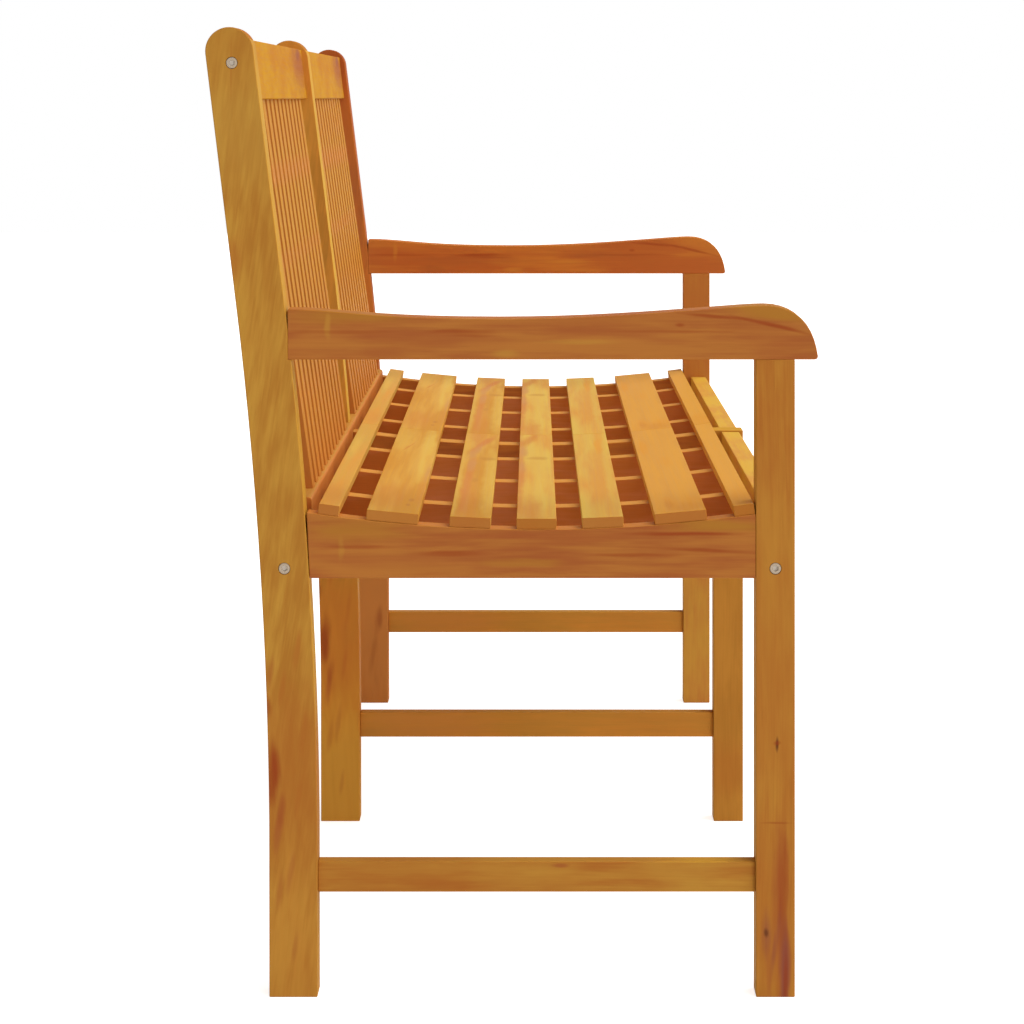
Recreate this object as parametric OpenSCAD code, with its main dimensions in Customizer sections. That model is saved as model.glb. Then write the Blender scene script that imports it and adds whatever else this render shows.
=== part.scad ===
// Slatted two-seat garden bench: three side frames, two bays of rails between
// them, a dipped seat with a row of slats in each bay and a back of thin upright
// slats.
// +X runs along the length, the front faces -Y, +Z is up, and the origin lies on
// the ground at the middle of the bench. Sizes are in millimetres.

/* [Overall] */
// Length over the end frames
bench_length = 1120; // [920:10:1600]
// Depth from the armrest nose to the back of the post tops
bench_depth = 575; // [480:5:700]
// Height to the top of the back posts
bench_height = 910; // [755:5:1100]
// Height of the seat at the lowest point of its dip
seat_height = 448.4; // [370:0.1:540]
// Height of the underside of the armrests
arm_underside = 598; // [560:1:720]

/* [Side frames] */
// Thickness of posts, legs and armrests along the bench
frame_thickness = 26; // [22:1:34]
// Width of a back post, front to back
post_width = 45.2; // [38:0.2:55]
// Angle of the upper part of the back posts
back_rake = 7; // [4:0.5:10]
// Height at which the back posts start to bend
bend_start = 127; // [105:1:160]
// Radius of the bend along the middle of a post
bend_radius = 4400; // [3600:50:5300]
// Width of an end front leg, front to back
leg_width = 36.5; // [33:0.5:44]
// Width of the middle front leg, front to back
middle_leg_width = 34.2; // [30:0.2:44]
// Height of the middle front leg above the front apron
middle_leg_rise = 1.7; // [0:0.1:10]
// Underside of the low stretchers
stretcher_low = 97; // [60:1:120]
// Height of a low stretcher
stretcher_height = 28.5; // [22:0.5:36]
// Thickness of a low stretcher
stretcher_thickness = 15; // [12:0.5:20]

/* [Seat] */
// Height of a seat side rail at its lowest point
side_rail_waist = 45.7; // [38:0.1:55]
// Thickness of the seat side rails
side_rail_thickness = 20; // [16:0.5:22]
// Setback of an end rail from the outer face of its frame
side_rail_setback = 1; // [0:0.5:3]
// Setback of the middle rail, which carries two rows of slat ends, from both faces of its frame
middle_rail_setback = 1; // [0:0.5:2]
// Gap at the top of the joint between a side rail and its post
side_rail_gap = 1.8; // [0.5:0.1:3]
// Radius of the dip in the rails and supports
seat_radius = 1460; // [1200:10:2200]
// Height of a seat support at its lowest point
support_waist = 34.4; // [30:0.1:42]
// Thickness of the seat supports
support_thickness = 20; // [16:0.5:26]
// Distance from a frame to the middle of the nearest support
support_end_gap = 106.5; // [60:0.5:130]
// Length of the tenons on the supports
support_tenon = 12; // [8:0.5:14]
// Depth of the notch in the supports in front of the front slat
support_notch = 14; // [6:0.5:16]
// Widths of the seat slats, from the back to the front
slat_widths = [19.4, 48.7, 38.6, 37.4, 38.6, 48.7, 19.4];
// Proportions of the gaps between the seat slats
slat_gap_shares = [25.8, 29.7, 24.5, 24.5, 29.7, 25.8];
// Thickness of the seat slats
slat_thickness = 10; // [8:0.5:14]
// Setback of the slat ends from the end frames
slat_end_setback = 2; // [0:0.5:6]
// Gap between the slats of the two bays over the middle rail
slat_joint_gap = 0.6; // [0.2:0.1:2]
// Gap between the front slat and the legs
slat_front_gap = 0.5; // [0.5:0.5:6]
// Gap between the rear slat and the rear seat rail
slat_rear_gap = 7.6; // [4:0.2:14]

/* [Lengthwise rails] */
// Rise of the rear seat rails above the lowest point of the dip
rear_rail_rise = 26.6; // [22:0.1:34]
// Height of the rear seat rails
rear_rail_height = 77; // [64:1:93]
// Thickness of the rear seat rails
rear_rail_thickness = 34; // [31:0.5:36]
// How far the rear seat rails stand in front of the posts
rear_rail_proud = 5.3; // [0:0.1:6]
// Radius of the front top edge of the rear seat rails
rear_rail_round = 4; // [1:0.5:5]
// Rise of the front aprons above the lowest point of the dip
apron_rise = 15.6; // [13:0.1:20]
// Height of the front aprons
apron_height = 66; // [55:1:80]
// Thickness of the front aprons
apron_thickness = 20.5; // [18:0.5:24.5]
// Setback of the front aprons from the front of the end legs
apron_setback = 5.8; // [3:0.2:8]
// Height of a top rail, square to its rake
top_rail_height = 57.4; // [46:0.2:68]
// Thickness of a top rail
top_rail_thickness = 26; // [24:0.5:32]
// Setback of the top rails from the front of the posts
top_rail_setback = 6.6; // [3:0.1:9]
// Drop from the post tops to the top edge of the rails
top_rail_drop = 10.8; // [4:0.2:20]

/* [Back slats] */
// Number of back slats in a bay
back_slat_count = 12; // [8:1:16]
// Width of a back slat along the bench
back_slat_width = 20; // [14:0.5:24]
// Distance from a frame to the nearest back slat
back_slat_end_gap = 49.75; // [42:0.25:60]
// Thickness of a back slat
back_slat_thickness = 12; // [9:0.5:14]
// Setback of the slats from the front of the rear seat rail
back_slat_setback_low = 3.5; // [3:0.1:6]
// Setback of the slats from the front of the top rail
back_slat_setback_high = 3; // [3:0.1:6]
// Depth of the slat pockets in both rails
back_slat_pocket = 12; // [8:0.5:16]

/* [Armrests] */
// Height of an armrest at the post
arm_height_rear = 47.2; // [40:0.2:58]
// Height of an armrest at its lowest point
arm_height_dip = 38.3; // [34:0.1:48]
// Height of an armrest at its crest
arm_height_crest = 50.8; // [44:0.2:62]
// Height above its underside at which an armrest meets the rake of its post
arm_contact = 27; // [10:1:36]
// Distance from the crest to the tip of the nose
arm_nose_length = 49.5; // [40:0.5:60]
// Reach of the armrests in front of the end legs
arm_overhang = 21.7; // [10:0.1:26]
// Radius of the lower corner of the nose
arm_nose_corner = 3; // [1:0.5:6]
// Place of the lowest point, as a share of the way from the post to the nose
arm_dip_share = 0.4; // [0.3:0.01:0.5]

/* [Joints and fixings] */
// Thickness of every tenon
tenon_thickness = 11; // [8:0.5:12]
// Length of the tenons on the side rails, stretchers and armrests
tenon_length = 15; // [10:0.5:18]
// Height of the tenons on the side rails and supports
tenon_height = 22; // [18:0.5:26]
// Clearance around tenons and slats in their pockets
joint_clearance = 0.2; // [0.1:0.05:0.4]
// Diameter of the frame bolts and studs
bolt_diameter = 6; // [5:0.5:7]
// Diameter of a bolt head
bolt_head_diameter = 10.7; // [9.5:0.1:11.5]
// Height of a bolt head
bolt_head_height = 6; // [4:0.5:7]
// Width across the flats of the hexagon socket
bolt_socket = 5; // [4:0.5:6]
// Depth of the lower bolts below the lowest point of the dip
lower_bolt_drop = 36.4; // [30:0.1:38]
// Depth of the upper bolts below the post tops
upper_bolt_drop = 33.6; // [30:0.2:40]
// Distance from a rail's end to its barrel nut
nut_inset = 34; // [26:1:40]
// Diameter of a barrel nut
nut_diameter = 10; // [9:0.5:12]
// Length of a barrel nut
nut_length = 12; // [10:0.5:14]
// Diameter of the dowels
dowel_diameter = 8; // [6:0.5:9]
// Depth of a dowel in a post or leg
dowel_in_frame = 9; // [6:0.5:10]
// Depth of a dowel in a rail
dowel_in_rail = 20; // [14:1:24]
// Diameter of a seat screw
screw_diameter = 3.5; // [3:0.1:4]
// Diameter of a seat screw's head
screw_head_diameter = 7; // [6:0.1:8]
// Length of a seat screw under its head
screw_length = 29; // [24:0.5:32]
// Depth of a seat screw in its slat
screw_in_slat = 7; // [5:0.5:7.5]

/* [Hidden] */
$fn = 64;

wood = [0.74, 0.49, 0.22];
wood_light = [0.85, 0.63, 0.30];
wood_dowel = [0.86, 0.74, 0.52];
zinc = [0.74, 0.72, 0.69];

bend_steps = 14;         // straight stretches in the bend of a post
cap_steps = 24;          // straight stretches in the round top of a post
top_bolt_forward = 1;    // top bolt in front of the middle line of its post
lip_play = 0.2;          // gap between a rear rail's lip and the middle post
lip_least = 1.5;         // a thinner lip is left out
bedding = 0.12;          // air under the edges of a flat slat on its curved rail
hole_play = 0.3;         // radial room for a bolt or screw that passes through
fit_play = 0.05;         // radial room for a dowel, nut or thread in its hole
head_play = 0.35;        // radial room around a bolt head in its recess
head_sink = 0.3;         // bolt head below the face of the frame
bolt_tip = 8;            // bolt beyond the middle of its barrel nut
overcut = 1;             // cutters start this far outside the wood
end_room = 1;            // air beyond the end of a tenon, dowel or bolt
bolt_to_tenon = 9;       // lower bolt's axis to the underside of the tenons
tenon_to_dowel = 7;      // top of the tenons to the lower dowels' axis
top_dowel_rise = 13;     // underside of a top rail to its dowel's axis
stretcher_shoulder = 5;  // shoulder above and below a stretcher's tenon
arm_tenon_height = 26;
leg_tenon_width = 24;    // tenon at the top of an end leg
leg_tenon_length = 22;
nut_slot = [1.2, 1];     // width and depth of the slot that turns a barrel nut
screw_head = 2.4;        // height of a seat screw's head
screw_point = 3;         // length of its point

// Places along the bench, with a bay piece drawn about the middle of its bay.
half_frame = frame_thickness / 2;
end_face = bench_length / 2;
end_frame_x = end_face - half_frame;
bay_length = (bench_length - 3 * frame_thickness) / 2;
bay_middle = half_frame + bay_length / 2;
end_rail_x = end_face - side_rail_setback - side_rail_thickness / 2;
middle_rail_thickness = frame_thickness - 2 * middle_rail_setback;
middle_screw_x = middle_rail_thickness / 4;

// The middle line of a back post: upright, then an arc, then straight.
front_y = -bench_depth / 2;
rear_y = bench_depth / 2;
half_post = post_width / 2;
bend_end = bend_start + bend_radius * sin(back_rake);
post_cap_z = bench_height - half_post;
function post_angle(z) =
    z <= bend_start ? 0 : z >= bend_end ? back_rake : asin((z - bend_start) / bend_radius);
function post_lean(z) =
    bend_radius * (1 - cos(post_angle(z))) + max(0, z - bend_end) * tan(back_rake);
cap_angle = post_angle(post_cap_z);
foot_y = rear_y - half_post - post_lean(post_cap_z);
function post_middle(z) = foot_y + post_lean(z);
function post_front(z) = post_middle(z) - half_post / cos(post_angle(z));

// The front legs share one middle line.
leg_front = front_y + arm_overhang;
leg_middle = leg_front + leg_width / 2;
leg_back = leg_front + leg_width;
middle_leg_back = leg_middle + middle_leg_width / 2;

// Heights under the seat follow the lowest point of the rails' dip.
seat_low = seat_height - slat_thickness;
side_rail_low = seat_low - side_rail_waist;
rear_rail_top = seat_low + rear_rail_rise;
rear_rail_low = rear_rail_top - rear_rail_height;
apron_top = seat_low + apron_rise;
apron_low = apron_top - apron_height;
lower_bolt_height = seat_low - lower_bolt_drop;
tenon_low = lower_bolt_height + bolt_to_tenon;
lower_dowel_height = tenon_low + tenon_height + tenon_to_dowel;

// Lengthwise rails.
apron_front = leg_front + apron_setback;
apron_back = apron_front + apron_thickness;
rear_rail_front = post_front(rear_rail_top) - rear_rail_proud;
rear_rail_back = rear_rail_front + rear_rail_thickness;
top_rail_top = bench_height - top_rail_drop;
top_rail_low = top_rail_top - top_rail_height * cos(back_rake);
top_rail_front = post_front(top_rail_low) + top_rail_setback / cos(back_rake);

// The dip of the seat is an arc about a line high above it.
slat_span_front = max(leg_back, middle_leg_back) + slat_front_gap;
slat_span_rear = rear_rail_front - slat_rear_gap;
seat_middle = (slat_span_front + slat_span_rear) / 2;
seat_arc_z = seat_low + seat_radius;
function seat_top(y) = seat_arc_z - sqrt(pow(seat_radius, 2) - pow(y - seat_middle, 2));
rail_blank_top = max(seat_top(apron_back), seat_top(rear_rail_front));
lip_low = rail_blank_top + lip_play;
lip_thickness = post_front(lip_low) - lip_play - rear_rail_front;
lip_reach = half_frame - slat_joint_gap / 2;

function total(list, upto) = upto <= 0 ? 0 : list[upto - 1] + total(list, upto - 1);
slat_count = len(slat_widths);
gap_scale = (slat_span_rear - slat_span_front - total(slat_widths, slat_count))
    / total(slat_gap_shares, slat_count - 1);
function slat_y(i) = slat_span_rear - total(slat_widths, i)
    - gap_scale * total(slat_gap_shares, i) - slat_widths[i] / 2;
function slat_angle(i) = asin((slat_y(i) - seat_middle) / seat_radius);
function slat_bed(i) = sqrt(pow(seat_radius, 2) - pow(slat_widths[i] / 2, 2)) - bedding;

slat_length = end_face - slat_end_setback - slat_joint_gap / 2;

support_pitch = bay_length / 2 - support_end_gap;
support_xs = [for (bay = [-1, 1], k = [-1, 0, 1]) bay * bay_middle + k * support_pitch];

// One row of screws in each rail or support under the left-hand slats.
left_screw_xs = concat([-end_rail_x, -middle_screw_x], [for (i = [0 : 2]) support_xs[i]]);
function slat_screw_z(i) = seat_top(slat_y(i)) + screw_in_slat - screw_length;

// Back slats run straight from one rail to the other.
back_slat_pitch = (bay_length - 2 * back_slat_end_gap - back_slat_width) / (back_slat_count - 1);
slat_foot_y = rear_rail_front + back_slat_setback_low;
slat_head_y = top_rail_front + back_slat_setback_high;
back_slat_rake = atan((slat_head_y - slat_foot_y) / (top_rail_low - rear_rail_top));
back_slat_run = (top_rail_low - rear_rail_top) / cos(back_slat_rake);

// Armrest: the top edge dips between the post and the crest above the leg.
arm_rear_y = post_front(arm_underside + arm_contact);
arm_crest_y = front_y + arm_nose_length;
arm_dip_y = arm_rear_y - arm_dip_share * (arm_rear_y - front_y);

// Fixings, as [y, z] on the ends of the rails.
rear_bolt = [post_middle(lower_bolt_height), lower_bolt_height];
top_bolt = [post_middle(bench_height - upper_bolt_drop) - top_bolt_forward,
    bench_height - upper_bolt_drop];
front_bolt = [leg_middle, lower_bolt_height];
rear_dowel = [rear_bolt[0], lower_dowel_height];
top_dowel = [post_middle(top_rail_low + top_dowel_rise), top_rail_low + top_dowel_rise];
front_dowel = [(apron_front + apron_back) / 2, lower_dowel_height];
all_bolts = [rear_bolt, top_bolt, front_bolt];
all_dowels = [rear_dowel, top_dowel, front_dowel];
stretcher_tenon_low = stretcher_low + stretcher_shoulder;
stretcher_tenon_height = stretcher_height - 2 * stretcher_shoulder;
arm_tenon_low = arm_underside + (arm_height_rear - arm_tenon_height) / 2;

// ---- Helpers ----------------------------------------------------------------

// A board whose outline is drawn as [y, z] and whose thickness lies along X.
module board(middle_x, thickness, outline) {
    translate([middle_x - thickness / 2, 0, 0])
        rotate([90, 0, 90])
            linear_extrude(thickness)
                polygon(outline);
}

// A box given by its middle in X and its two corners in Y and Z.
module bar(middle_x, thickness, low, high) {
    translate([middle_x - thickness / 2, low[0], low[1]])
        cube([thickness, high[0] - low[0], high[1] - low[1]]);
}

// A round rod along X at a [y, z] place.
module rod(from_x, to_x, place, radius) {
    translate([from_x, place[0], place[1]])
        rotate([0, 90, 0])
            cylinder(h = to_x - from_x, r = radius);
}

// The right-hand piece is the left-hand one mirrored.
module on_side(side) {
    mirror([side > 0 ? 1 : 0, 0, 0])
        children();
}

module at_both_ends() {
    children();
    mirror([1, 0, 0])
        children();
}

function bezier(a, b, c, d, steps) = [
    for (i = [0 : steps])
        let (t = i / steps, u = 1 - t)
        u * u * u * a + 3 * u * u * t * b + 3 * u * t * t * c + t * t * t * d
];

// ---- Back posts --------------------------------------------------------------

function arc_line() = [
    for (i = [0 : bend_steps])
        let (z = bend_start + (min(bend_end, post_cap_z) - bend_start) * i / bend_steps)
        [post_middle(z), z, post_angle(z)]
];
post_line = concat([[foot_y, 0, 0]], arc_line());
post_cap = [post_middle(post_cap_z), post_cap_z];
post_outline = concat(
    [for (p = post_line) [p[0] + half_post * cos(p[2]), p[1] - half_post * sin(p[2])]],
    [for (i = [0 : cap_steps])
        let (a = i * 180 / cap_steps - cap_angle)
        post_cap + half_post * [cos(a), sin(a)]],
    [for (i = [len(post_line) - 1 : -1 : 0])
        let (p = post_line[i])
        [p[0] - half_post * cos(p[2]), p[1] + half_post * sin(p[2])]]
);

// Room for a tenon that enters a post from the front.
module post_mortise(middle_x, low, height) {
    bar(middle_x, tenon_thickness + 2 * joint_clearance,
        [post_front(low) - 2 * overcut, low - joint_clearance],
        [post_front(low) + tenon_length + end_room, low + height + joint_clearance]);
}

// The head recess is cut in the outer face of a left-hand frame.
module left_bolt_hole(place) {
    rod(-end_face - overcut, -end_face + frame_thickness + overcut, place,
        bolt_diameter / 2 + hole_play);
    rod(-end_face - overcut, -end_face + head_sink + bolt_head_height, place,
        bolt_head_diameter / 2 + head_play);
}

module frame_dowel_hole(face_x, place) {
    rod(face_x - dowel_in_frame - end_room, face_x + overcut, place,
        dowel_diameter / 2 + fit_play);
}

module end_back_post(side) {
    color(wood) on_side(side) difference() {
        board(-end_frame_x, frame_thickness, post_outline);
        post_mortise(-end_rail_x, tenon_low, tenon_height);
        post_mortise(-end_frame_x, stretcher_tenon_low, stretcher_tenon_height);
        // The armrest stands on a small ledge and its tenon goes on into the post.
        bar(-end_frame_x, frame_thickness + 2 * overcut,
            [arm_rear_y - half_post, arm_underside],
            [arm_rear_y, arm_underside + arm_height_rear]);
        bar(-end_frame_x, tenon_thickness + 2 * joint_clearance,
            [arm_rear_y - overcut, arm_tenon_low - joint_clearance],
            [arm_rear_y + tenon_length + end_room,
                arm_tenon_low + arm_tenon_height + joint_clearance]);
        for (place = [rear_bolt, top_bolt])
            left_bolt_hole(place);
        for (place = [rear_dowel, top_dowel])
            frame_dowel_hole(-end_face + frame_thickness, place);
    }
}

module middle_back_post() {
    color(wood) difference() {
        board(0, frame_thickness, post_outline);
        post_mortise(0, tenon_low, tenon_height);
        post_mortise(0, stretcher_tenon_low, stretcher_tenon_height);
        for (place = [rear_bolt, top_bolt])
            rod(-half_frame - overcut, half_frame + overcut, place, bolt_diameter / 2 + hole_play);
        for (place = [rear_dowel, top_dowel])
            at_both_ends()
                frame_dowel_hole(half_frame, place);
    }
}

// ---- Front legs --------------------------------------------------------------

module leg_mortise(middle_x, back_y, low, height) {
    bar(middle_x, tenon_thickness + 2 * joint_clearance,
        [back_y - tenon_length - end_room, low - joint_clearance],
        [back_y + overcut, low + height + joint_clearance]);
}

module end_front_leg(side) {
    color(wood) on_side(side) difference() {
        union() {
            bar(-end_frame_x, frame_thickness, [leg_front, 0], [leg_back, arm_underside]);
            bar(-end_frame_x, tenon_thickness,
                [leg_middle - leg_tenon_width / 2, arm_underside - overcut],
                [leg_middle + leg_tenon_width / 2, arm_underside + leg_tenon_length]);
        }
        leg_mortise(-end_rail_x, leg_back, tenon_low, tenon_height);
        leg_mortise(-end_frame_x, leg_back, stretcher_tenon_low, stretcher_tenon_height);
        left_bolt_hole(front_bolt);
        frame_dowel_hole(-end_face + frame_thickness, front_dowel);
    }
}

module middle_front_leg() {
    color(wood) difference() {
        bar(0, frame_thickness, [leg_middle - middle_leg_width / 2, 0],
            [middle_leg_back, apron_top + middle_leg_rise]);
        leg_mortise(0, middle_leg_back, tenon_low, tenon_height);
        leg_mortise(0, middle_leg_back, stretcher_tenon_low, stretcher_tenon_height);
        rod(-half_frame - overcut, half_frame + overcut, front_bolt,
            bolt_diameter / 2 + hole_play);
        at_both_ends()
            frame_dowel_hole(half_frame, front_dowel);
    }
}

// ---- Armrests ----------------------------------------------------------------

// The curves' handles are shares of the stretch that each belongs to.
arm_outline = let (base = arm_underside,
                   rear_top = base + arm_height_rear,
                   dip_top = base + arm_height_dip,
                   crest_top = base + arm_height_crest,
                   rear_run = arm_rear_y - arm_dip_y,
                   crest_run = arm_dip_y - arm_crest_y)
    concat(
        [[arm_rear_y, base]],
        bezier([arm_rear_y, rear_top], [arm_rear_y - 0.25 * rear_run, rear_top],
            [arm_dip_y + 0.65 * rear_run, dip_top], [arm_dip_y, dip_top], 10),
        bezier([arm_dip_y, dip_top], [arm_dip_y - 0.48 * crest_run, dip_top],
            [arm_crest_y + 0.13 * crest_run, crest_top], [arm_crest_y, crest_top], 12),
        bezier([arm_crest_y, crest_top], [arm_crest_y - 0.6 * arm_nose_length, crest_top],
            [front_y + 0.08 * arm_nose_length, base + 0.65 * arm_height_crest],
            [front_y, base + arm_nose_corner], 10),
        [for (a = [210, 240, 270])
            [front_y + arm_nose_corner * (1 + cos(a)), base + arm_nose_corner * (1 + sin(a))]]
    );

module armrest(side) {
    color(wood) on_side(side) difference() {
        union() {
            board(-end_frame_x, frame_thickness, arm_outline);
            bar(-end_frame_x, tenon_thickness,
                [arm_rear_y - overcut, arm_tenon_low],
                [arm_rear_y + tenon_length, arm_tenon_low + arm_tenon_height]);
        }
        bar(-end_frame_x, tenon_thickness + 2 * joint_clearance,
            [leg_middle - leg_tenon_width / 2 - joint_clearance, arm_underside - overcut],
            [leg_middle + leg_tenon_width / 2 + joint_clearance,
                arm_underside + leg_tenon_length + end_room]);
    }
}

// ---- Rails and stretchers of the side frames -----------------------------------

module seat_dip() {
    translate([-end_face - overcut, seat_middle, seat_arc_z])
        rotate([0, 90, 0])
            cylinder(h = bench_length + 2 * overcut, r = seat_radius, $fn = 360);
}

// Screw holes come up from below, with a deep recess for the head.
module seat_screw_holes(x) {
    for (i = [0 : slat_count - 1]) {
        head_z = slat_screw_z(i);
        translate([x, slat_y(i), 0]) {
            translate([0, 0, head_z])
                cylinder(h = screw_length, r = screw_diameter / 2 + hole_play, $fn = 32);
            cylinder(h = head_z, r = screw_head_diameter / 2 + hole_play, $fn = 32);
        }
    }
}

module seat_rail(middle_x, thickness, front, screw_xs) {
    color(wood) difference() {
        union() {
            board(middle_x, thickness, [
                [front, side_rail_low],
                [post_front(side_rail_low) - 2 * joint_clearance, side_rail_low],
                [post_front(rail_blank_top) - side_rail_gap, rail_blank_top],
                [front, rail_blank_top]
            ]);
            bar(middle_x, tenon_thickness, [front - tenon_length, tenon_low],
                [front + overcut, tenon_low + tenon_height]);
            bar(middle_x, tenon_thickness,
                [post_front(tenon_low) - 3 * side_rail_gap, tenon_low],
                [post_front(tenon_low) + tenon_length, tenon_low + tenon_height]);
        }
        seat_dip();
        for (x = screw_xs)
            seat_screw_holes(x);
    }
}

module stretcher(middle_x, front) {
    color(wood) union() {
        bar(middle_x, stretcher_thickness, [front, stretcher_low],
            [post_front(stretcher_low), stretcher_low + stretcher_height]);
        bar(middle_x, tenon_thickness, [front - tenon_length, stretcher_tenon_low],
            [post_front(stretcher_low) + tenon_length,
                stretcher_tenon_low + stretcher_tenon_height]);
    }
}

// ---- Lengthwise rails ----------------------------------------------------------

// Bolt, nut and dowel holes at the left end of a rail drawn about the middle of its bay.
// The nut goes in from the back, square to a face that leans by the rake.
module rail_end_holes(bolt, dowel, rake, nut_reach) {
    end_x = -bay_length / 2;
    rod(end_x - overcut, end_x + nut_inset + bolt_tip + end_room, bolt,
        bolt_diameter / 2 + hole_play);
    rod(end_x - overcut, end_x + dowel_in_rail + end_room, dowel,
        dowel_diameter / 2 + fit_play);
    translate([end_x + nut_inset, bolt[0], bolt[1]])
        rotate([-90 - rake, 0, 0])
            translate([0, 0, -nut_length / 2])
                cylinder(h = nut_length / 2 + nut_reach, r = nut_diameter / 2 + fit_play);
}

module back_slat(x, grow) {
    translate([x, slat_foot_y, rear_rail_top])
        rotate([-back_slat_rake, 0, 0])
            translate([-back_slat_width / 2 - grow, -grow, -back_slat_pocket - grow])
                cube([back_slat_width + 2 * grow, back_slat_thickness + 2 * grow,
                    back_slat_run + 2 * back_slat_pocket + 2 * grow]);
}

module bay_back_slats(grow) {
    for (i = [0 : back_slat_count - 1])
        back_slat((i - (back_slat_count - 1) / 2) * back_slat_pitch, grow);
}

module top_rail(side) {
    color(wood_light) translate([side * bay_middle, 0, 0]) difference() {
        translate([-bay_length / 2, top_rail_front, top_rail_low])
            rotate([-back_rake, 0, 0])
                cube([bay_length, top_rail_thickness, top_rail_height]);
        bay_back_slats(joint_clearance);
        at_both_ends()
            rail_end_holes(top_bolt, top_dowel, back_rake, top_rail_thickness);
    }
}

// Outline of a rear seat rail with its round front corner, down to some height.
function rear_rail_outline(low, back_low, back_top) = concat(
    [[rear_rail_front, low]],
    [for (i = [0 : 4])
        let (a = 180 - 22.5 * i)
        [rear_rail_front + rear_rail_round * (1 + cos(a)),
            rear_rail_top - rear_rail_round * (1 - sin(a))]],
    [[back_top, rear_rail_top], [back_low, low]]
);

// A rear rail that stands proud has a lip that covers its half of the middle post's front.
module rear_seat_rail(side) {
    color(wood_light) translate([side * bay_middle, 0, 0]) difference() {
        union() {
            board(0, bay_length,
                rear_rail_outline(rear_rail_low, rear_rail_back, rear_rail_back));
            if (lip_thickness > lip_least)
                board(-side * (bay_length + lip_reach - overcut) / 2, lip_reach + overcut,
                    rear_rail_outline(lip_low, rear_rail_front + lip_thickness,
                        post_front(rear_rail_top) - lip_play));
        }
        bay_back_slats(joint_clearance);
        for (k = [-1, 0, 1])
            bar(k * support_pitch, tenon_thickness + 2 * joint_clearance,
                [rear_rail_front - overcut, tenon_low - joint_clearance],
                [rear_rail_front + support_tenon + end_room,
                    tenon_low + tenon_height + joint_clearance]);
        at_both_ends()
            rail_end_holes(rear_bolt, rear_dowel, 0, rear_rail_thickness);
    }
}

module front_apron(side) {
    color(wood_light) translate([side * bay_middle, 0, 0]) difference() {
        bar(0, bay_length, [apron_front, apron_low], [apron_back, apron_top]);
        for (k = [-1, 0, 1])
            bar(k * support_pitch, tenon_thickness + 2 * joint_clearance,
                [apron_back - support_tenon - end_room, tenon_low - joint_clearance],
                [apron_back + overcut, tenon_low + tenon_height + joint_clearance]);
        at_both_ends()
            rail_end_holes(front_bolt, front_dowel, 0, apron_thickness);
    }
}

// ---- Seat ----------------------------------------------------------------------

module seat_support(i) {
    x = support_xs[i];
    color(wood) difference() {
        union() {
            bar(x, support_thickness, [apron_back, seat_low - support_waist],
                [rear_rail_front, rail_blank_top]);
            bar(x, tenon_thickness, [apron_back - support_tenon, tenon_low],
                [rear_rail_front + support_tenon, tenon_low + tenon_height]);
        }
        seat_dip();
        seat_screw_holes(x);
        for (ys = [[apron_back - overcut, slat_span_front],
                [slat_span_rear, rear_rail_front + overcut]])
            bar(x, support_thickness + 2 * overcut, [ys[0], rail_blank_top - support_notch],
                [ys[1], rail_blank_top + overcut]);
    }
}

module seat_slat(side, i) {
    color(wood_light) on_side(side) difference() {
        translate([0, seat_middle, seat_arc_z])
            rotate([slat_angle(i), 0, 0])
                translate([-end_face + slat_end_setback, -slat_widths[i] / 2, -slat_bed(i)])
                    cube([slat_length, slat_widths[i], slat_thickness]);
        for (x = left_screw_xs)
            translate([x, slat_y(i), slat_screw_z(i)])
                cylinder(h = screw_length + end_room / 2, r = screw_diameter / 2 + fit_play,
                    $fn = 32);
    }
}

// ---- Fixings ---------------------------------------------------------------------

module frame_bolt(place) {
    head_x = -end_face + head_sink;
    neck_x = head_x + bolt_head_height;
    difference() {
        union() {
            rod(head_x, neck_x, place, bolt_head_diameter / 2);
            rod(neck_x, -end_face + frame_thickness + nut_inset + bolt_tip, place, bolt_diameter / 2);
        }
        translate([head_x - overcut, place[0], place[1]])
            rotate([0, 90, 0])
                cylinder(h = bolt_head_height / 2 + overcut,
                    d = bolt_socket / cos(30), $fn = 6);
    }
}

module frame_bolts() {
    color(zinc)
        for (place = all_bolts)
            at_both_ends()
                frame_bolt(place);
}

module middle_studs() {
    reach = half_frame + nut_inset + bolt_tip;
    color(zinc)
        for (place = all_bolts)
            rod(-reach, reach, place, bolt_diameter / 2);
}

module barrel_nut(x, place, rake) {
    translate([x, place[0], place[1]])
        rotate([-90 - rake, 0, 0])
            difference() {
                translate([0, 0, -nut_length / 2])
                    cylinder(h = nut_length, d = nut_diameter);
                rotate([0, 90, 0])
                    translate([0, 0, -nut_diameter])
                        cylinder(h = 2 * nut_diameter, r = bolt_diameter / 2 + fit_play);
                translate([-nut_slot[0] / 2, -nut_diameter, nut_length / 2 - nut_slot[1]])
                    cube([nut_slot[0], 2 * nut_diameter, nut_slot[1] + overcut]);
            }
}

module barrel_nuts() {
    color(zinc)
        for (k = [0 : 2], x = [end_face - frame_thickness - nut_inset, half_frame + nut_inset])
            at_both_ends()
                barrel_nut(x, all_bolts[k], k == 1 ? back_rake : 0);
}

module dowels() {
    color(wood_dowel)
        for (place = all_dowels, face = [end_face - frame_thickness, half_frame])
            at_both_ends() {
                // Outward of the face lies the end frame, inward of it the rail.
                outward = face > half_frame ? dowel_in_frame : dowel_in_rail;
                inward = face > half_frame ? dowel_in_rail : dowel_in_frame;
                rod(face - inward, face + outward, place, dowel_diameter / 2);
            }
}

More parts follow.
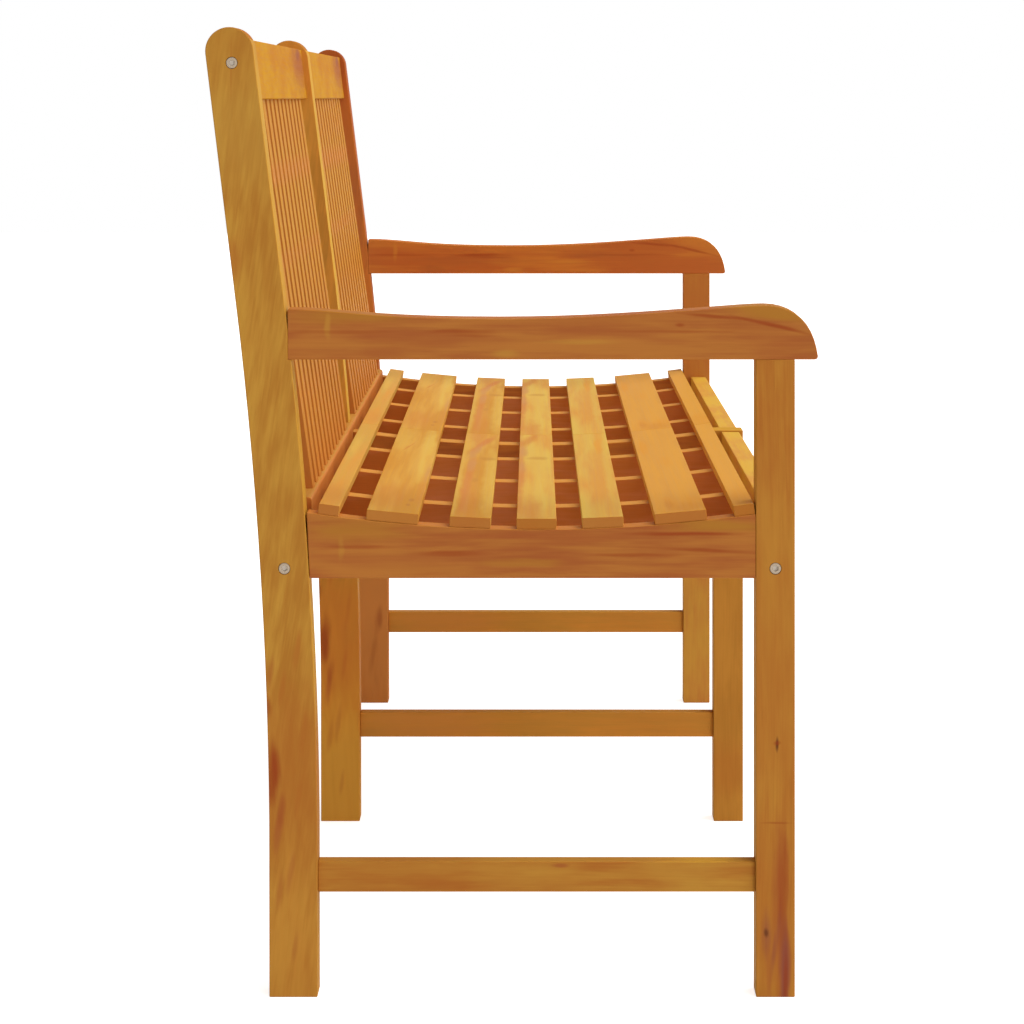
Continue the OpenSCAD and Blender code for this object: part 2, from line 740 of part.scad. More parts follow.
module seat_screw(x, i) {
    translate([x, slat_y(i), slat_screw_z(i)]) {
        translate([0, 0, -screw_head])
            cylinder(h = screw_head, r = screw_head_diameter / 2, $fn = 32);
        cylinder(h = screw_length - screw_point, r = screw_diameter / 2, $fn = 32);
        translate([0, 0, screw_length - screw_point])
            cylinder(h = screw_point, r1 = screw_diameter / 2, r2 = screw_diameter / 8, $fn = 32);
    }
}

module seat_screws() {
    color(zinc)
        for (x = left_screw_xs, i = [0 : slat_count - 1])
            at_both_ends()
                seat_screw(x, i);
}

// ---- Nodes -----------------------------------------------------------------------

end_back_post(-1);  // left_back_post
middle_back_post();
end_back_post(1);  // right_back_post
end_front_leg(-1);  // left_front_leg
middle_front_leg();
end_front_leg(1);  // right_front_leg
armrest(-1);  // left_armrest
armrest(1);  // right_armrest
seat_rail(-end_rail_x, side_rail_thickness, leg_back, [-end_rail_x]);  // left_seat_side_rail
seat_rail(0, middle_rail_thickness, middle_leg_back, [-middle_screw_x, middle_screw_x]);  // middle_seat_rail
seat_rail(end_rail_x, side_rail_thickness, leg_back, [end_rail_x]);  // right_seat_side_rail
stretcher(-end_frame_x, leg_back);  // left_stretcher
stretcher(0, middle_leg_back);  // middle_stretcher
stretcher(end_frame_x, leg_back);  // right_stretcher
top_rail(-1);  // left_top_rail
top_rail(1);  // right_top_rail
rear_seat_rail(-1);  // left_rear_seat_rail
rear_seat_rail(1);  // right_rear_seat_rail
front_apron(-1);  // left_front_apron
front_apron(1);  // right_front_apron
seat_support(0);  // seat_support_1
seat_support(1);  // seat_support_2
seat_support(2);  // seat_support_3
seat_support(3);  // seat_support_4
seat_support(4);  // seat_support_5
seat_support(5);  // seat_support_6
seat_slat(-1, 0);  // left_seat_slat_1
seat_slat(-1, 1);  // left_seat_slat_2
seat_slat(-1, 2);  // left_seat_slat_3
seat_slat(-1, 3);  // left_seat_slat_4
seat_slat(-1, 4);  // left_seat_slat_5
seat_slat(-1, 5);  // left_seat_slat_6
seat_slat(-1, 6);  // left_seat_slat_7
seat_slat(1, 0);  // right_seat_slat_1
seat_slat(1, 1);  // right_seat_slat_2
seat_slat(1, 2);  // right_seat_slat_3
seat_slat(1, 3);  // right_seat_slat_4
seat_slat(1, 4);  // right_seat_slat_5
seat_slat(1, 5);  // right_seat_slat_6
seat_slat(1, 6);  // right_seat_slat_7
color(wood_light) translate([-bay_middle, 0, 0]) bay_back_slats(0);  // left_back_slats
color(wood_light) translate([bay_middle, 0, 0]) bay_back_slats(0);  // right_back_slats
frame_bolts();
middle_studs();
barrel_nuts();
dowels();
seat_screws();
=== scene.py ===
# %% [markdown]
# # A slatted garden bench
# The bench is oiled hardwood: three side frames, rails bolted between them, a dipped
# seat of slats and a back of thin upright ones. Its shape is already exact in the CAD
# frame, so this lesson is about what a joiner's hand and an oil finish add: eased edges,
# grain that runs along each board, stains, end grain, and dull zinc fixings.

# %% Load the frame
import math
import random

import bmesh
import bpy
import numpy as np
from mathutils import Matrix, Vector


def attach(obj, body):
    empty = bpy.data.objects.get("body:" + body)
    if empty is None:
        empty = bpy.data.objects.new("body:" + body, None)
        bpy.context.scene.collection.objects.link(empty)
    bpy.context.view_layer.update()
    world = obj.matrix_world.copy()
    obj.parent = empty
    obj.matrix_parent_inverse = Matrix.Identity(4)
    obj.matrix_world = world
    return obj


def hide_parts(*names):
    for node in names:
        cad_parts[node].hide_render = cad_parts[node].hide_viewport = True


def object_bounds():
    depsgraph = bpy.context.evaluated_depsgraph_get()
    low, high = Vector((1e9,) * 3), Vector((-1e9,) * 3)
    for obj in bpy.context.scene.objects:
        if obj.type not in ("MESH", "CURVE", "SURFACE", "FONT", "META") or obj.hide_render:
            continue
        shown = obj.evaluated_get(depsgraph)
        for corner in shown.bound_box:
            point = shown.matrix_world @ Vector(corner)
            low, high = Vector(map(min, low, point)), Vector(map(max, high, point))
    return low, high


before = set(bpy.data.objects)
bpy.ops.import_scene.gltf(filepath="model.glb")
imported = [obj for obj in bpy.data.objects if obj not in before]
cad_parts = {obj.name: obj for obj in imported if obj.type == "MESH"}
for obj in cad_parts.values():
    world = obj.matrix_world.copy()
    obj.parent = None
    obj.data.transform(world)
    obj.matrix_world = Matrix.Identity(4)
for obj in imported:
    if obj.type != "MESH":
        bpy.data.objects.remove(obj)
cad_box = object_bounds()
bench_low, bench_high = cad_box
print("bench from", tuple(round(v, 3) for v in bench_low), "to", tuple(round(v, 3) for v in bench_high))

# %% [markdown]
# ## The camera
# The view is from the left end, looking straight along the bench with the camera held
# level. The camera stands high, near the top of the back, so the lens is shifted down
# to keep the legs in the picture. A tilted camera would do that too, but then every
# upright edge would lean.

# %% Camera
VIEW_DISTANCE = 2.253  # from the left end of the bench to the lens
VIEW_HEIGHT = 0.8448  # above the floor
VIEW_SIDESTEP = -0.02105  # a little to the front of the bench's middle
SENSOR_WIDTH = 36.0  # millimetres, and so is the lens
LENS = 84.47
SHIFT_ASIDE = -0.0215  # both shifts are shares of the picture's width
SHIFT_DOWN = -0.4058


def new_object(name, data):
    """A mesh, camera or lamp, linked to the scene."""
    made = bpy.data.objects.new(name, data)
    bpy.context.scene.collection.objects.link(made)
    return made


camera_data = bpy.data.cameras.new("end_view")
camera_data.sensor_width = SENSOR_WIDTH
camera_data.lens = LENS
camera_data.shift_x = SHIFT_ASIDE
camera_data.shift_y = SHIFT_DOWN
camera = new_object("end_view", camera_data)
camera.location = (bench_low.x - VIEW_DISTANCE, VIEW_SIDESTEP, VIEW_HEIGHT)
camera.rotation_euler = (math.radians(90), 0, math.radians(-90))
bpy.context.scene.camera = camera
print("lens of", LENS, "mm at", tuple(round(v, 3) for v in camera.location))

# %% [markdown]
# ## Boards with eased edges
# A CAD board has knife-sharp arrises, and real ones are eased with sandpaper, which is
# what catches the light. Each board starts as a copy of its CAD solid. The copy's loose
# triangles are welded and its flat faces joined, and then the long edges get a small
# round. Rims of holes and mortises are short chains of edges, so a chain that spans less
# than three centimetres is left sharp.

# %% Copy a board
WELD = 1e-6
FLAT_ANGLE = math.radians(0.3)


def clean_copy(node):
    """A welded copy of a CAD node, with whole faces in place of its triangles."""
    bm = bmesh.new()
    bm.from_mesh(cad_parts[node].data)
    bmesh.ops.remove_doubles(bm, verts=bm.verts, dist=WELD)
    bmesh.ops.dissolve_limit(bm, angle_limit=FLAT_ANGLE, verts=bm.verts, edges=bm.edges)
    return bm


# %% Ease its edges
SHARP_ANGLE = math.radians(30)
SHORTEST_CHAIN = 0.03  # rims of holes and mortises span less than this


def is_sharp(edge):
    return len(edge.link_faces) == 2 and edge.calc_face_angle(0) > SHARP_ANGLE


def chains(edges):
    """Groups of edges that meet at their ends, always in the same order."""
    left = dict.fromkeys(edges)
    while left:
        first, _ = left.popitem()
        chain, queue = [], [first]
        while queue:
            edge = queue.pop()
            chain.append(edge)
            for vert in edge.verts:
                for other in vert.link_edges:
                    if other in left:
                        del left[other]
                        queue.append(other)
        yield chain


def points_of(chain):
    """Where its edges end, one row for each end."""
    return np.array([vert.co for edge in chain for vert in edge.verts])


def span(chain):
    """The longest side of the box around a chain."""
    points = points_of(chain)
    return (points.max(0) - points.min(0)).max()


def ease_edges(bm, radius):
    """Rounds the long edges. The rounds' middle lines are marked as worn, for the oil."""
    worn = bm.verts.layers.float.new("worn")
    edges = [e for chain in chains([e for e in bm.edges if is_sharp(e)])
             if span(chain) > SHORTEST_CHAIN for e in chain]
    result = bmesh.ops.bevel(bm, geom=edges, offset=radius, offset_type="OFFSET", affect="EDGES",
                             segments=2, profile=0.5, material=-1, clamp_overlap=False)
    rounds = set(result["faces"])
    for face in bm.faces:
        face.smooth = True
    for edge in bm.edges:
        inside = [face in rounds for face in edge.link_faces]
        edge.smooth = all(inside) or (not any(inside) and not is_sharp(edge))
    for vert in bm.verts:
        if all(face in rounds for face in vert.link_faces):
            vert[worn] = 1.0


# %% [markdown]
# ## Where each point lies in its board
# Grain, stains and knots are placed along a board and across it, so every board carries
# a vector attribute, "place": metres from the board's middle along the grain, across its
# face, and through its thickness. Wood is solid, so the pattern then carries on round
# every corner. The twelve slats of a back were sawn from one thick plank, so each gets a
# middle of its own and a stain shows on all of them at one height. Two more attributes
# tell end grain and narrow edges from the broad faces.

# %% Mark the places
EDGE_FACING = 0.7  # the least cosine at which a face counts as a narrow edge
END_FACING = 0.4  # end grain shows even where a round end turns away from the grain


def mark_places(bm, along, across):
    """Writes each point's place in its board, and which faces are end grain or narrow."""
    along = Vector(along).normalized()
    across = Vector(across).normalized()
    axes = (along, across, along.cross(across))
    place = bm.verts.layers.float_vector.new("place")
    for solid in chains(bm.edges):
        verts = list({vert for edge in solid for vert in edge.verts})
        corners = np.array([[vert.co.dot(axis) for axis in axes] for vert in verts])
        middle = (corners.min(0) + corners.max(0)) / 2
        for vert, corner in zip(verts, corners):
            vert[place] = Vector(corner - middle)
    end = bm.faces.layers.float.new("end_grain")
    narrow = bm.faces.layers.float.new("narrow_edge")
    for face in bm.faces:
        face[end] = float(abs(face.normal.dot(along)) > END_FACING)
        face[narrow] = float(abs(face.normal.dot(across)) > EDGE_FACING)


# %% Make a board
FRAME_EDGE = 0.0009  # the round on the boards of the frame
FINE_EDGE = 0.0006  # and on slats and supports

boards = {}


def mesh_object(name, bm):
    """The finished bmesh as an object."""
    mesh = bpy.data.meshes.new(name)
    bm.to_mesh(mesh)
    bm.free()
    return new_object(name, mesh)


def make_board(node, along, across, radius=FRAME_EDGE):
    """The board that shows in place of a CAD node."""
    bm = clean_copy(node)
    ease_edges(bm, radius)
    mark_places(bm, along, across)
    piece = mesh_object(node + "_wood", bm)
    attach(piece, "root")
    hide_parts(node)
    boards[node] = piece


# %% [markdown]
# ## Saw the boards
# The grain runs along the length of every board. The back posts lean, and the top rails
# and back slats lean a little more, so their grain turns with them.

# %% Side frames, rails and slats
ALONG_BENCH, DEEP, UP = Vector((1, 0, 0)), Vector((0, 1, 0)), Vector((0, 0, 1))
POST_LEAN, TOP_RAIL_LEAN, SLAT_LEAN = 3.9, 7, 8  # degrees
SEAT_ROWS = range(1, 8)
SUPPORTS = range(1, 7)


def leaning(degrees):
    """Upwards, leaning back."""
    return Vector((0, math.sin(math.radians(degrees)), math.cos(math.radians(degrees))))


def square_to(direction):
    """Across the grain in a side frame's plane, towards the back."""
    return Vector((0, direction.z, -direction.y))


for side in ("left", "middle", "right"):
    post = leaning(POST_LEAN)
    rail = "middle_seat_rail" if side == "middle" else f"{side}_seat_side_rail"
    make_board(f"{side}_back_post", post, square_to(post))
    make_board(f"{side}_front_leg", UP, DEEP)
    make_board(rail, DEEP, UP)
    make_board(f"{side}_stretcher", DEEP, UP)

for side in ("left", "right"):
    make_board(f"{side}_armrest", DEEP, UP)
    make_board(f"{side}_top_rail", ALONG_BENCH, leaning(TOP_RAIL_LEAN))
    make_board(f"{side}_rear_seat_rail", ALONG_BENCH, UP)
    make_board(f"{side}_front_apron", ALONG_BENCH, UP)
    make_board(f"{side}_back_slats", leaning(SLAT_LEAN), ALONG_BENCH, FINE_EDGE)
    for i in SEAT_ROWS:
        make_board(f"{side}_seat_slat_{i}", ALONG_BENCH, DEEP, FINE_EDGE)

for i in SUPPORTS:
    make_board(f"seat_support_{i}", DEEP, UP, FINE_EDGE)
print(len(boards), "boards")

# %% [markdown]
# ## The grain
# This hardwood has no strong ring lines. Its look comes from broad clouds of golden and
# redder wood, a flame-like figure where the tree grew unevenly, and short feathered
# flecks. Each is a noise stretched along the grain, and together they choose between
# two shades. One node group holds them all, so every board shares one way of making
# wood, and only its shades, the slant and length of its figure and the strength of each
# part differ.

# %% Small helpers for node trees
def add(tree, kind, inputs=None, **settings):
    """A node with its settings, and values or links for its inputs."""
    node = tree.nodes.new(kind)
    for key, value in settings.items():
        setattr(node, key, value)
    for key, value in (inputs or {}).items():
        if isinstance(value, bpy.types.NodeSocket):
            tree.links.new(value, node.inputs[key])
        else:
            node.inputs[key].default_value = value
    return node


def do(tree, operation, a, b=0.0, c=0.0):
    """One Math node."""
    return add(tree, "ShaderNodeMath", {0: a, 1: b, 2: c}, operation=operation).outputs[0]


def vector_do(tree, operation, a, b=(0, 0, 0), c=(0, 0, 0)):
    """One Vector Math node."""
    return add(tree, "ShaderNodeVectorMath", {0: a, 1: b, 2: c}, operation=operation).outputs[0]


def smooth(tree, value, low, high):
    """0 below low, 1 above high, and an even curve between."""
    return add(tree, "ShaderNodeMapRange", {"Value": value, "From Min": low, "From Max": high},
               interpolation_type="SMOOTHSTEP").outputs["Result"]


def mix(tree, factor, a, b, blend="MIX"):
    """One Mix node for colours, whose sockets are numbers 6 and 7, and 2 where it comes out."""
    return add(tree, "ShaderNodeMix", {0: factor, 6: a, 7: b}, data_type="RGBA",
               blend_type=blend).outputs[2]


def colour(r, g, b):
    return (r, g, b, 1.0)


# %% Noise along the grain
def noise(tree, place, along, across, detail=2):
    """Noise with so many waves a metre along the grain and across it."""
    stretched = vector_do(tree, "MULTIPLY", place, (along, across, across))
    return add(tree, "ShaderNodeTexNoise",
               {"Vector": stretched, "Scale": 1.0, "Detail": detail}).outputs


def ripple(tree, place, along, across, detail=2):
    """Such a noise as a number around 0."""
    return do(tree, "SUBTRACT", noise(tree, place, along, across, detail)["Fac"], 0.5)


def drift(tree, place, along, across):
    """Such a noise as a vector around 0."""
    return vector_do(tree, "SUBTRACT", noise(tree, place, along, across)["Color"], (0.5, 0.5, 0.5))


def slanted(tree, place, slant):
    """The place, with the grain turned a little across the board."""
    axes = add(tree, "ShaderNodeSeparateXYZ", {0: place}).outputs
    across = do(tree, "MULTIPLY_ADD", axes["X"], slant, axes["Y"])
    return add(tree, "ShaderNodeCombineXYZ", {0: axes["X"], 1: across, 2: axes["Z"]}).outputs[0]


# %% An empty node group
def new_group(name, inputs, outputs):
    """An empty node group with its sockets, and the outputs of its Group Input node."""
    tree = bpy.data.node_groups.new(name, "ShaderNodeTree")
    kinds = {"value": "NodeSocketFloat", "vector": "NodeSocketVector", "colour": "NodeSocketColor"}
    for way, sockets in (("INPUT", inputs), ("OUTPUT", outputs)):
        for socket, kind in sockets.items():
            tree.interface.new_socket(socket, in_out=way, socket_type=kinds[kind])
    return tree, add(tree, "NodeGroupInput").outputs


# %% The wood grain group
WANDER = (0.02, 0.014, 0.014)  # metres along, across and through the board
SWIRL = (0.10, 0.035, 0.035)
STREAKS = 0.2  # what streaks and fibres add to the choice of shade
FIBRES = 0.2
TWO_SHADES = (0.24, 0.76)  # the level at which wood is all dark, and all light
FIBRE_LIGHT = 0.10  # how much lighter fibres are, and how much darker pores
PORE_SHADOW = -0.08
PORES = (0.64, 0.80)  # noise at which a pore starts, and is whole


def wood_grain_group():
    tree, given = new_group(
        "Wood grain",
        {"Place": "vector", "Log": "vector", "Slant": "value", "Light wood": "colour",
         "Dark wood": "colour", "Clouds": "value", "Flame": "value", "Flecks": "value",
         "Length": "value"},
        {"Color": "colour", "Fibres": "value", "Relief": "value"})

    # Every board comes from its own log, so its noises start somewhere else. In slow grown
    # wood the figure is drawn out along the board.
    drawn_out = add(tree, "ShaderNodeCombineXYZ", {0: do(tree, "DIVIDE", 1.0, given["Length"]),
                                                   1: 1.0, 2: 1.0}).outputs[0]
    place = vector_do(tree, "MULTIPLY_ADD", slanted(tree, given["Place"], given["Slant"]), drawn_out,
                      given["Log"])

    # No tree is quite straight, so everything wanders a few millimetres, and the flame
    # swirls more.
    bent = vector_do(tree, "MULTIPLY_ADD", drift(tree, place, 3, 11), WANDER, place)
    swirled = vector_do(tree, "MULTIPLY_ADD", drift(tree, place, 9, 26), SWIRL, bent)

    clouds = ripple(tree, bent, 7, 17, detail=1)
    flame = ripple(tree, swirled, 7, 42)
    flecks = ripple(tree, bent, 26, 150)
    streaks = ripple(tree, bent, 3, 80)
    fibres = ripple(tree, bent, 12, 520, detail=3)
    pores = smooth(tree, noise(tree, bent, 45, 1500, detail=1)["Fac"], *PORES)

    # Dark and light wood on one scale, with 0.5 halfway.
    level = do(tree, "MULTIPLY_ADD", clouds, given["Clouds"], 0.5)
    level = do(tree, "MULTIPLY_ADD", flame, given["Flame"], level)
    level = do(tree, "MULTIPLY_ADD", flecks, given["Flecks"], level)
    level = do(tree, "MULTIPLY_ADD", streaks, STREAKS, level)
    level = do(tree, "MULTIPLY_ADD", fibres, FIBRES, level)
    shade = mix(tree, smooth(tree, level, *TWO_SHADES), given["Dark wood"], given["Light wood"])

    light = do(tree, "MULTIPLY_ADD", fibres, FIBRE_LIGHT, 1.0)
    light = do(tree, "MULTIPLY_ADD", pores, PORE_SHADOW, light)
    grey = add(tree, "ShaderNodeCombineColor", {0: light, 1: light, 2: light}).outputs[0]
    shade = mix(tree, 1.0, shade, grey, "MULTIPLY")
    relief = do(tree, "MULTIPLY_ADD", pores, -1.0, fibres)
    add(tree, "NodeGroupOutput", {"Color": shade, "Fibres": fibres, "Relief": relief})
    return tree


WOOD_GRAIN = wood_grain_group()
print(len(WOOD_GRAIN.nodes), "nodes in the wood grain group")

# %% [markdown]
# ## Stains and knots
# What tells one board from the next is its marks: a rusty stain, a purplish patch of
# heartwood, a pin knot. They could be painted, but here each is an ellipse in the
# board's own places with a wavering edge, so a mark can be moved or made longer by
# changing a number, and it goes right through the board as a real one does.

# %% The mark group
WAVER = (1.1, 1.1, 0.0)  # how much the edge wavers, in shares of the mark's half size
RIM = (0.25, 1.25)  # the mark is whole out to the first share, and gone by the second
LINES = (0.30, 0.62)  # noise that leaves a gap between two lines, and a whole line


def mark_group():
    tree, given = new_group(
        "Mark",
        {"Place": "vector", "Log": "vector", "Middle": "vector", "Size": "vector",
         "Streaked": "value", "Slant": "value"},
        {"Mask": "value"})
    from_middle = vector_do(tree, "SUBTRACT", given["Place"], given["Middle"])
    offset = vector_do(tree, "MULTIPLY", slanted(tree, from_middle, given["Slant"]), (1, 1, 0))
    shares = vector_do(tree, "DIVIDE", offset, given["Size"])
    in_log = vector_do(tree, "ADD", given["Place"], given["Log"])
    shares = vector_do(tree, "MULTIPLY_ADD", drift(tree, in_log, 20, 80), WAVER, shares)
    distance = add(tree, "ShaderNodeVectorMath", {0: shares}, operation="LENGTH").outputs["Value"]
    body = do(tree, "SUBTRACT", 1.0, smooth(tree, distance, *RIM))
    lines = smooth(tree, noise(tree, in_log, 8, 190, detail=3)["Fac"], *LINES)
    streaked = do(tree, "MULTIPLY", body, lines)
    mask = add(tree, "ShaderNodeMix", {0: given["Streaked"], 2: body, 3: streaked}).outputs[0]
    add(tree, "NodeGroupOutput", {"Mask": mask})
    return tree


MARK = mark_group()
print(len(MARK.nodes), "nodes in the mark group")

# %% [markdown]
# ## Shades of the wood
# The same timber runs from straw to rust, so the shades are named once and every board
# picks from them.

# %% Shades
WOOD = {
    "cream": colour(0.76, 0.500, 0.092),
    "straw": colour(0.77, 0.455, 0.058),
    "wheat": colour(0.74, 0.425, 0.075),
    "biscuit": colour(0.65, 0.387, 0.073),
    "maize": colour(0.69, 0.365, 0.043),
    "corn": colour(0.66, 0.320, 0.006),
    "blond": colour(0.81, 0.390, 0.059),
    "sand": colour(0.78, 0.375, 0.055),
    "brass": colour(0.60, 0.303, 0.048),
    "peach": colour(0.73, 0.345, 0.060),
    "melon": colour(0.645, 0.302, 0.038),
    "apricot": colour(0.66, 0.266, 0.047),
    "saffron": colour(0.60, 0.228, 0.007),
    "coral": colour(0.66, 0.245, 0.056),
    "salmon": colour(0.64, 0.240, 0.045),
    "rose": colour(0.64, 0.310, 0.100),
    "gold": colour(0.58, 0.285, 0.045),
    "ochre": colour(0.48, 0.200, 0.030),
    "honey": colour(0.56, 0.245, 0.038),
    "toffee": colour(0.47, 0.155, 0.026),
    "amber": colour(0.52, 0.190, 0.039),
    "umber": colour(0.49, 0.165, 0.035),
    "russet": colour(0.42, 0.118, 0.031),
    "tangerine": colour(0.78, 0.340, 0.038),
    "orange": colour(0.65, 0.260, 0.039),
    "clay": colour(0.61, 0.205, 0.035),
    "brick": colour(0.61, 0.198, 0.066),
    "cherry": colour(0.57, 0.165, 0.029),
    "henna": colour(0.51, 0.135, 0.030),
    "rust": colour(0.34, 0.056, 0.014),
    "plum": colour(0.31, 0.085, 0.050),
    "bark": colour(0.13, 0.040, 0.015),
}


def mark(shade, along, across, long, wide, strength, streaked, slant=0.0):
    """A stain or knot: metres from the board's middle, and half its length and width.
    Strength and streaked run from 0 to 1."""
    return shade, (along, across, 0.0), (long, wide, 1.0), strength, streaked, slant


def fainter(marks, share, swaps):
    """The same marks, weaker, with some shades swapped."""
    return [(swaps.get(tint, tint), middle, size, strength * share, streaked, slant)
            for tint, middle, size, strength, streaked, slant in marks]


print(len(WOOD), "shades")

# %% [markdown]
# ## Oiled wood
# One function makes the material of a board. Oil leaves wood with a soft, broken shine,
# so the roughness follows the fibres, and end grain drinks the oil and stays duller.
# Handling wears the eased edges a little paler.

# %% A new material
def new_material(name):
    """A material with no nodes yet, and its node tree."""
    material = bpy.data.materials.new(name)
    material.use_nodes = True
    tree = material.node_tree
    tree.nodes.clear()
    return material, tree


def attribute(tree, name):
    return add(tree, "ShaderNodeAttribute", attribute_name=name).outputs


def tinted(tree, shade, layer, tint, share):
    """The shade, drawn towards a tint where an attribute is 1."""
    return mix(tree, do(tree, "MULTIPLY", attribute(tree, layer)["Fac"], share), shade, tint)


# %% Oil the wood
LOG_SPREAD = 40  # metres of noise to pick a log from
SAWN_TINT = 0.9  # how far ends and narrow edges take shades of their own
WORN_TINT = 0.18
OILED_ROUGHNESS = 0.60
FIBRE_ROUGHNESS = 0.25  # what fibres and end grain add to it
END_ROUGHNESS = 0.15
GRAIN_DEPTH = 0.0003


def oiled_wood(name, light, dark, ends="umber", edges=None, marks=(), slant=0.0, clouds=1.0,
               flame=0.5, flecks=0.5, length=1.0):
    """Oiled wood of two shades. End grain and narrow edges lean to shades of their own."""
    material, tree = new_material(name)
    dice = random.Random(name)
    log = [dice.uniform(0, LOG_SPREAD) for _ in range(3)]
    place = attribute(tree, "place")["Vector"]
    grain = add(tree, "ShaderNodeGroup", {
        "Place": place, "Log": log, "Slant": slant, "Light wood": WOOD[light],
        "Dark wood": WOOD[dark], "Clouds": clouds, "Flame": flame, "Flecks": flecks,
        "Length": length}, node_tree=WOOD_GRAIN)
    shade = grain.outputs["Color"]
    if edges:
        shade = tinted(tree, shade, "narrow_edge", WOOD[edges], SAWN_TINT)
    for tint, middle, size, strength, streaked, lean in marks:
        one = add(tree, "ShaderNodeGroup", {
            "Place": place, "Log": log, "Middle": middle, "Size": size, "Streaked": streaked,
            "Slant": lean}, node_tree=MARK)
        there = do(tree, "MULTIPLY", one.outputs["Mask"], strength)
        shade = mix(tree, there, shade, WOOD[tint])
    shade = tinted(tree, shade, "end_grain", WOOD[ends], SAWN_TINT)
    shade = tinted(tree, shade, "worn", WOOD["peach"], WORN_TINT)

    end = attribute(tree, "end_grain")["Fac"]
    rough = do(tree, "MULTIPLY_ADD", grain.outputs["Fibres"], FIBRE_ROUGHNESS, OILED_ROUGHNESS)
    rough = do(tree, "MULTIPLY_ADD", end, END_ROUGHNESS, rough)
    bump = add(tree, "ShaderNodeBump", {"Height": grain.outputs["Relief"], "Strength": 0.2,
                                        "Distance": GRAIN_DEPTH})
    surface = add(tree, "ShaderNodeBsdfPrincipled", {
        "Base Color": shade, "Roughness": rough, "Normal": bump.outputs[0], "IOR": 1.45,
        "Specular IOR Level": 0.05})
    add(tree, "ShaderNodeOutputMaterial", {"Surface": surface.outputs[0]})
    return material


# %% Give it to the boards
def repaint(piece, material):
    piece.data.materials.clear()
    piece.data.materials.append(material)


def finish(material, *nodes):
    """Gives boards their wood."""
    for node in nodes:
        repaint(boards[node], material)
    print(material.name, "on", ", ".join(nodes))


# %% [markdown]
# ## Posts and legs
# The left and middle posts were cut side by side from one plank, so they share their
# streaks and the rusty stain towards the back edge, below the seat. The left post is gold
# and the middle one more orange. The right one comes from the red heart of the tree and
# has marks of its own. The narrow edges of the first two are yellower than their faces,
# and below the seat a painted shade darkens their front edges. Below the seat the middle
# and right posts are painted lighter, painted light against the shade there. Low on the
# left leg a dark streak of heartwood holds a knot, and a thinner knot sits higher up.

# %% Finish the posts
STEEP = 0.20  # how the grain slants across the posts

POST_MARKS = [
    # shades along the post
    mark("biscuit", 0.36, 0.0, 0.060, 0.060, 0.3, 0.2),
    mark("ochre", 0.45, 0.0, 0.040, 0.060, 0.4, 0.2),
    mark("toffee", 0.420, 0.0083, 0.036, 0.0012, 0.5, 0.0, 0.08),
    mark("clay", -0.42, 0.0, 0.140, 0.060, 0.3, 0.2),
    # painted shade: darkens the post's front edge below the seat, where shadow falls
    mark("ochre", -0.30, -0.0285, 0.22, 0.008, 0.9, 0.0, 0.06),
    mark("toffee", -0.245, 0.0, 0.105, 0.060, 0.7, 0.2),
    mark("toffee", 0.237, 0.020, 0.026, 0.012, 0.7, 0.2, STEEP),
    # short streaks that follow the grain
    mark("toffee", -0.131, -0.016, 0.022, 0.0035, 0.7, 0.2, STEEP),
    mark("toffee", -0.165, 0.000, 0.018, 0.0035, 0.7, 0.2, STEEP),
    mark("russet", -0.150, 0.010, 0.020, 0.0030, 0.4, 0.2, STEEP),
    mark("toffee", -0.212, -0.016, 0.024, 0.0030, 0.7, 0.2, STEEP),
    mark("toffee", -0.270, -0.008, 0.024, 0.0030, 0.7, 0.2, STEEP),
    mark("russet", -0.292, 0.011, 0.028, 0.0045, 0.8, 0.2, STEEP),
    mark("russet", -0.340, 0.004, 0.022, 0.0035, 0.4, 0.2, STEEP),
    mark("russet", -0.355, 0.015, 0.022, 0.0040, 0.4, 0.2, STEEP),
    mark("russet", -0.410, 0.005, 0.016, 0.0030, 0.35, 0.2, STEEP),
    # the rusty stain
    mark("rust", -0.182, 0.0175, 0.014, 0.006, 0.70, 0.1),
    mark("rust", -0.244, 0.0150, 0.030, 0.009, 0.90, 0.2, 0.1),
    mark("rust", -0.280, 0.0090, 0.016, 0.005, 0.30, 0.2, 0.1),
]

MIDDLE_POST_MARKS = [
    # painted light: these two make the post lighter below the seat, against the shade there
    mark("tangerine", -0.36, 0.0, 0.26, 0.10, 0.8, 0.2),
    mark("sand", -0.42, 0.0, 0.10, 0.10, 0.7, 0.3),
    *fainter(POST_MARKS, 0.9, {"toffee": "cherry", "russet": "henna", "ochre": "orange",
                               "clay": "sand", "biscuit": "gold"}),
]

RIGHT_POST_MARKS = [
    # painted light: makes the post lighter below the seat, against the shade there
    mark("coral", -0.33, 0.0, 0.25, 0.10, 0.9, 0.0),
    mark("rust", 0.42, 0.0, 0.12, 0.10, 0.4, 0.2),
    mark("russet", -0.341, -0.008, 0.024, 0.0060, 0.8, 0.2, STEEP),
    mark("russet", -0.390, 0.004, 0.030, 0.0050, 0.4, 0.2, STEEP),
]

finish(oiled_wood("left_post_wood", "brass", "ochre", edges="maize", slant=STEEP, clouds=0.6,
                  flecks=0.7, marks=POST_MARKS), "left_back_post")
finish(oiled_wood("middle_post_wood", "orange", "ochre", edges="straw", slant=STEEP, flecks=0.8,
                  marks=MIDDLE_POST_MARKS), "middle_back_post")
finish(oiled_wood("right_post_wood", "cherry", "russet", ends="rust", edges="henna", slant=STEEP,
                  marks=RIGHT_POST_MARKS), "right_back_post")

